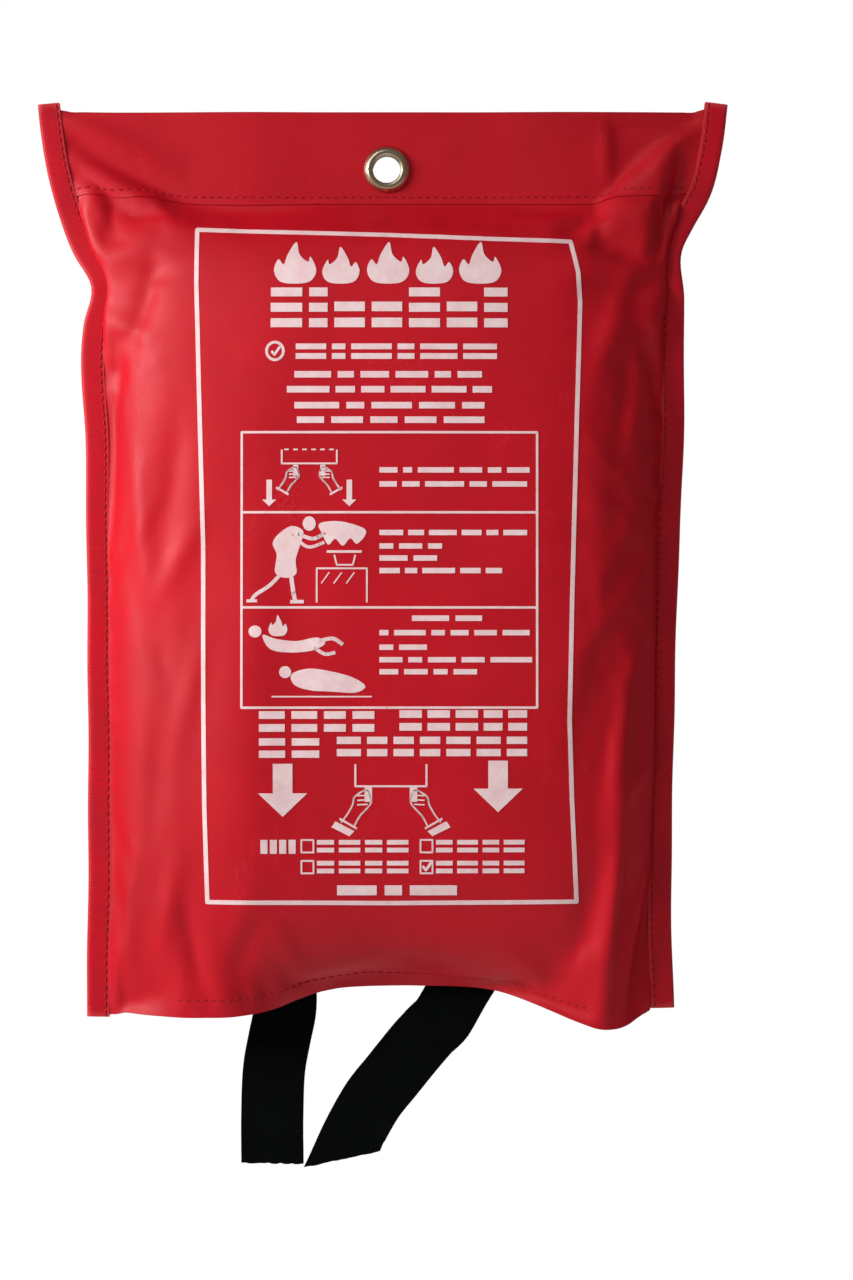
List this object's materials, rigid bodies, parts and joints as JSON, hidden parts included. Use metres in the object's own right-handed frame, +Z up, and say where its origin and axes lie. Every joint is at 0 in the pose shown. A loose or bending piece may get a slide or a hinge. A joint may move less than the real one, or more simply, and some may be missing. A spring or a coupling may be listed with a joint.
{
  "type": "fire blanket in soft pouch",
  "caption": "Folded glass-fibre fire blanket in a flat red hanging pouch with a grommet in its header and two black pull tapes hanging from its open lower end.",
  "frame": {"origin": "centre of the hanging grommet's bore, midway through the header", "axes": "+Z up, the printed front faces -Y, the wall is at +Y, +X is to the right seen from the front"},
  "size_m": [0.2736, 0.0366, 0.43],
  "materials": {
    "pouch_fabric": "satin",
    "edge_binding": "satin",
    "brass": "satin",
    "closure": "matte",
    "glass_cloth": "satin",
    "webbing": "matte"
  },
  "bodies": {
    "pouch": {"front_panel": "pouch_fabric", "front_lip": "pouch_fabric", "back_panel": "pouch_fabric", "header_facing": "pouch_fabric", "left_edge_binding": "edge_binding", "right_edge_binding": "edge_binding", "grommet_eyelet": "brass", "grommet_washer": "brass", "loop_strip": "closure", "hook_strip": "closure"},
    "blanket": {"folded_blanket": "glass_cloth", "left_tape_sewn": "webbing", "right_tape_sewn": "webbing"},
    "left_tape": {"left_tape_tail": "webbing"},
    "right_tape": {"right_tape_tail": "webbing"}
  },
  "joints": [
    {"name": "blanket_pull", "type": "slide", "parent": "pouch", "child": "blanket", "axis": [0, 0, -1], "range_m": [0, 0.3], "deforming": ["front_lip", "loop_strip"]},
    {"name": "left_tape_swing", "type": "hinge", "parent": "blanket", "child": "left_tape", "pos_m": [-0.045, 0.00435, -0.3305], "axis": [-1, 0, 0], "range_deg": [0, 70]},
    {"name": "right_tape_swing", "type": "hinge", "parent": "blanket", "child": "right_tape", "pos_m": [0.029, 0.00435, -0.3305], "axis": [-1, 0, 0], "range_deg": [0, 70]}
  ]
}
